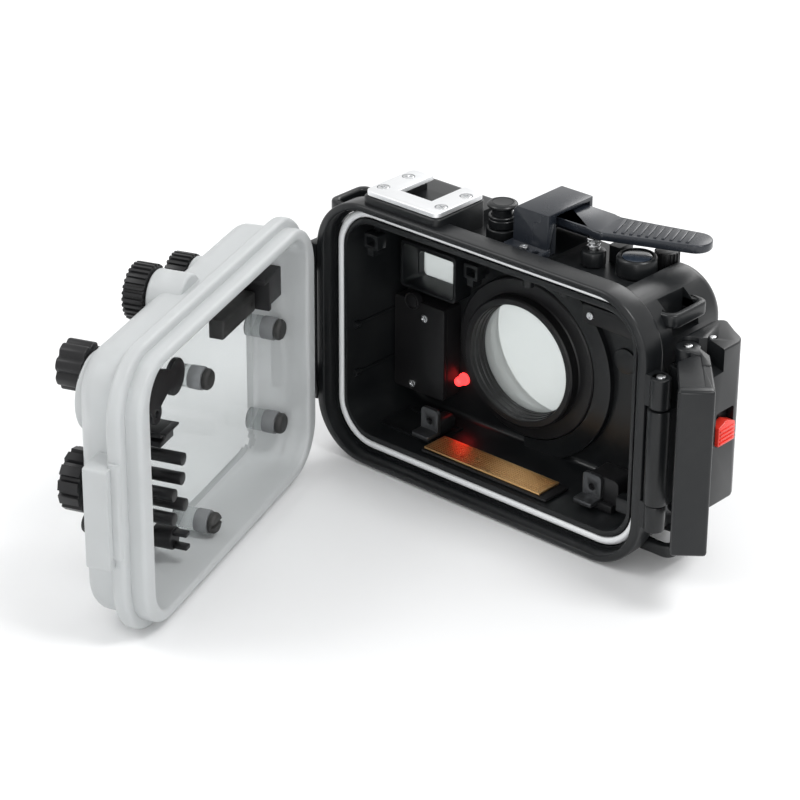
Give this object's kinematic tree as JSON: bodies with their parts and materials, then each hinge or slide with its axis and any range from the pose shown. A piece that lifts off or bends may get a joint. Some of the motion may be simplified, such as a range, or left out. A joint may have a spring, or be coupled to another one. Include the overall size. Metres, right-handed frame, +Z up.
{
  "type": "underwater camera housing",
  "caption": "Black waterproof housing for a compact camera with a lens port, an open clear rear cover on a side hinge, a hooked latch lever, a shutter lever and push controls.",
  "frame": {"origin": "middle of the flat pad under the body, where it stands", "axes": "+Z up, +Y forward out of the lens port, +X to the right seen from behind"},
  "size_m": [0.1792, 0.1976, 0.1045],
  "materials": {
    "body_black": "satin black moulding",
    "part_black": "matt black moulding",
    "rubber_black": "matt",
    "seal_white": "smooth silicone",
    "cover_clear": "clear panel in a frosted frame",
    "clear_glass": "coated, polished",
    "steel": "satin",
    "copper": "gold-plated tracks",
    "lock_red": "satin red",
    "lamp_red": "lit lamp"
  },
  "bodies": {
    "housing": {"front_body": "body_black", "body_seal": "seal_white", "lens_collar": "part_black", "port_glass": "clear_glass", "port_seal": "rubber_black", "front_port": "part_black", "flash_window": "clear_glass", "tripod_insert": "steel", "battery_box": "part_black", "battery_lid": "part_black", "leak_lamp": "lamp_red", "sensor_board": "part_black", "sensor_plate": "copper", "camera_rest_left": "part_black", "camera_rest_right": "part_black", "inner_arm": "part_black", "shoe_plate": "steel", "shoe_screw_1": "steel", "shoe_screw_2": "steel", "shoe_screw_3": "steel", "shoe_screw_4": "steel", "button_gland": "part_black", "shutter_bracket": "body_black", "bracket_screw": "steel", "lever_pin": "steel", "shutter_gland": "part_black", "shutter_spring": "steel", "hinge_bracket": "body_black", "hinge_pin": "steel", "latch_pin": "steel"},
    "cover": {"rear_cover": "cover_clear", "cushion_1": "rubber_black", "cushion_2": "rubber_black", "cushion_3": "rubber_black", "cushion_4": "rubber_black", "finger_bracket": "part_black", "rail_bar": "rubber_black", "selector_block": "part_black"},
    "latch_lever": {"latch_lever": "body_black", "hook_pin": "steel", "lock_pin": "steel"},
    "latch_hook": {"latch_hook": "body_black"},
    "lock": {"lock_slide": "lock_red"},
    "top_button": {"top_button": "part_black"},
    "shutter_lever": {"shutter_lever": "body_black"},
    "shutter_plunger": {"shutter_plunger": "part_black"},
    "mode_knob": {"mode_knob": "part_black"},
    "zoom_dial": {"zoom_dial": "part_black"},
    "cam_knob": {"cam_knob": "part_black", "swing_arm": "part_black"},
    "top_wheel_1": {"top_wheel_1": "part_black"},
    "top_wheel_2": {"top_wheel_2": "part_black"},
    "jog_dial": {"jog_dial": "part_black"},
    "fork_knob": {"fork_knob": "part_black"},
    "press_button_1": {"press_button_1": "part_black"},
    "press_button_2": {"press_button_2": "part_black"},
    "press_button_3": {"press_button_3": "part_black"},
    "press_button_4": {"press_button_4": "part_black"},
    "press_button_5": {"press_button_5": "part_black"},
    "press_button_6": {"press_button_6": "part_black"}
  },
  "joints": [
    {"name": "cover_hinge", "type": "hinge", "parent": "housing", "child": "cover", "pos_m": [-0.073, -0.02975, 0.0477], "axis": [0, 0, 1], "range_deg": [-40, 70]},
    {"name": "latch_lever_hinge", "type": "hinge", "parent": "housing", "child": "latch_lever", "pos_m": [0.0735, -0.02095, 0.0477], "axis": [0, 0, 1], "range_deg": [-75, 0]},
    {"name": "latch_hook_hinge", "type": "hinge", "parent": "latch_lever", "child": "latch_hook", "pos_m": [0.0748, -0.00935, 0.0477], "axis": [0, 0, -1], "range_deg": [-30, 40]},
    {"name": "lock_slide_travel", "type": "slide", "parent": "latch_lever", "child": "lock", "axis": [0, 0, 1], "range_m": [0, 0.0028], "stiffness_N_per_m": 150, "springref_m": -0.002},
    {"name": "top_button_press", "type": "slide", "parent": "housing", "child": "top_button", "axis": [0, 0, -1], "range_m": [0, 0.0022], "stiffness_N_per_m": 300, "springref_m": -0.001},
    {"name": "shutter_lever_press", "type": "hinge", "parent": "housing", "child": "shutter_lever", "pos_m": [0.0085, 0.00785, 0.1001], "axis": [0, 1, 0], "range_deg": [0, 4], "stiffness_Nm_per_rad": 0.25, "springref_deg": -3.44},
    {"name": "shutter_plunger_press", "type": "slide", "parent": "housing", "child": "shutter_plunger", "axis": [0, 0, -1], "range_m": [0, 0.0016], "deforming": ["shutter_spring"]},
    {"name": "mode_knob_turn", "type": "hinge", "parent": "housing", "child": "mode_knob", "pos_m": [0.0423, 0.00615, 0.0927], "axis": [0, 0, 1], "continuous": true},
    {"name": "zoom_dial_turn", "type": "hinge", "parent": "housing", "child": "zoom_dial", "pos_m": [0.0464, 0.01645, 0.0927], "axis": [0, 0, 1], "range_deg": [-30, 30]},
    {"name": "cam_knob_turn", "type": "hinge", "parent": "cover", "child": "cam_knob", "pos_m": [-0.04486, -0.14508, 0.0817], "axis": [0.9397, 0.342, 0], "range_deg": [-12, 18]},
    {"name": "top_wheel_1_turn", "type": "hinge", "parent": "cover", "child": "top_wheel_1", "pos_m": [-0.05974, -0.1042, 0.0877], "axis": [0.9397, 0.342, 0], "continuous": true},
    {"name": "top_wheel_2_turn", "type": "hinge", "parent": "cover", "child": "top_wheel_2", "pos_m": [-0.06914, -0.07836, 0.0807], "axis": [0.9397, 0.342, 0], "continuous": true},
    {"name": "jog_dial_turn", "type": "hinge", "parent": "cover", "child": "jog_dial", "pos_m": [-0.04263, -0.15119, 0.0467], "axis": [0.9397, 0.342, 0], "continuous": true},
    {"name": "fork_knob_turn", "type": "hinge", "parent": "cover", "child": "fork_knob", "pos_m": [-0.05238, -0.12441, 0.0151], "axis": [0.9397, 0.342, 0], "range_deg": [-45, 45]},
    {"name": "press_button_1_press", "type": "slide", "parent": "cover", "child": "press_button_1", "axis": [0.9397, 0.342, 0], "range_m": [0, 0.0014], "stiffness_N_per_m": 200, "springref_m": -0.001},
    {"name": "press_button_2_press", "type": "slide", "parent": "cover", "child": "press_button_2", "axis": [0.9397, 0.342, 0], "range_m": [0, 0.0014], "stiffness_N_per_m": 200, "springref_m": -0.001},
    {"name": "press_button_3_press", "type": "slide", "parent": "cover", "child": "press_button_3", "axis": [0.9397, 0.342, 0], "range_m": [0, 0.0014], "stiffness_N_per_m": 200, "springref_m": -0.001},
    {"name": "press_button_4_press", "type": "slide", "parent": "cover", "child": "press_button_4", "axis": [0.9397, 0.342, 0], "range_m": [0, 0.0014], "stiffness_N_per_m": 200, "springref_m": -0.001},
    {"name": "press_button_5_press", "type": "slide", "parent": "cover", "child": "press_button_5", "axis": [0.9397, 0.342, 0], "range_m": [0, 0.0014], "stiffness_N_per_m": 200, "springref_m": -0.001},
    {"name": "press_button_6_press", "type": "slide", "parent": "cover", "child": "press_button_6", "axis": [0.9397, 0.342, 0], "range_m": [0, 0.0014], "stiffness_N_per_m": 200, "springref_m": -0.001}
  ],
  "couplings": [
    {"joint": "shutter_plunger_press", "follows": "shutter_lever_press", "m_per_rad": 0.0205}
  ]
}
